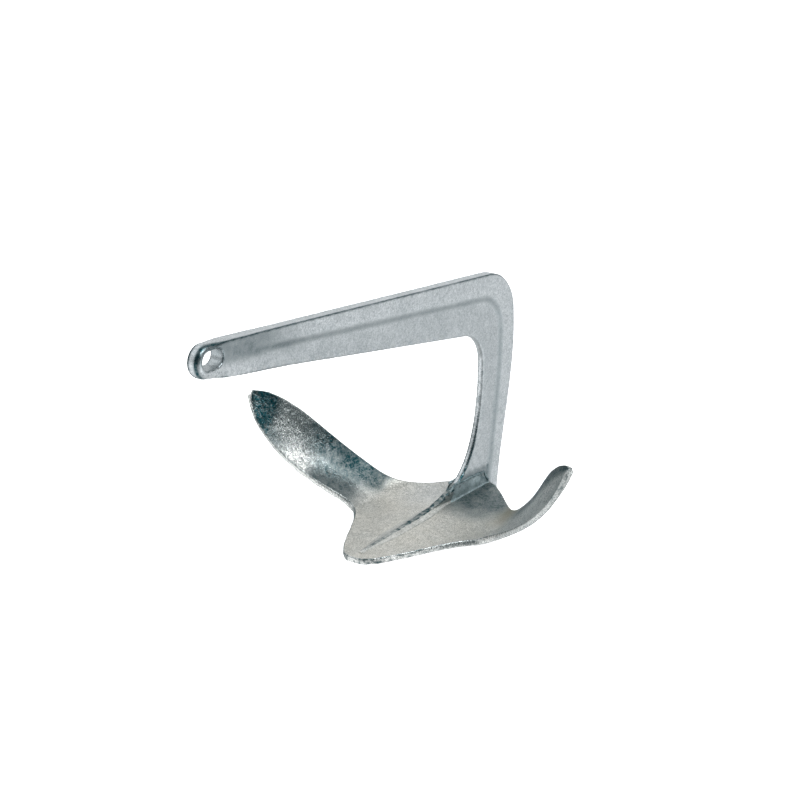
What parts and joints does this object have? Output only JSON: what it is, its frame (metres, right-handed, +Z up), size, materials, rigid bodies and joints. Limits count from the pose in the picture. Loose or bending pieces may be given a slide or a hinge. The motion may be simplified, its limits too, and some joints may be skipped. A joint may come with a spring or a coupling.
{
  "type": "boat anchor",
  "caption": "Claw anchor in hot-dip galvanised steel: bent shank with a slotted shackle eye, welded to a concave claw with a blunt toe and swept-up flukes.",
  "frame": {"origin": "centre of the shackle slot, on the anchor's plane of symmetry", "axes": "+X from the crown forward to the eye, along the shank; +Y to port, along the shackle pin; +Z up, with the palm of the claw level"},
  "size_m": [0.4032, 0.3086, 0.2326],
  "materials": {
    "shank_zinc": "hot-dip galvanised, fine matt mottle",
    "claw_zinc": "hot-dip galvanised casting, satin with glossy rippled patches on the flukes",
    "weld_zinc": "hot-dip galvanised weld metal, rough and darker"
  },
  "bodies": {
    "root": {"shank": "shank_zinc", "claw": "claw_zinc", "spine_rib": "claw_zinc", "root_fillet_port": "weld_zinc", "root_fillet_starboard": "weld_zinc", "weld_root_port": "weld_zinc", "weld_root_starboard": "weld_zinc", "weld_spine_port": "weld_zinc", "weld_spine_starboard": "weld_zinc", "weld_heel": "weld_zinc"}
  },
  "joints": []
}
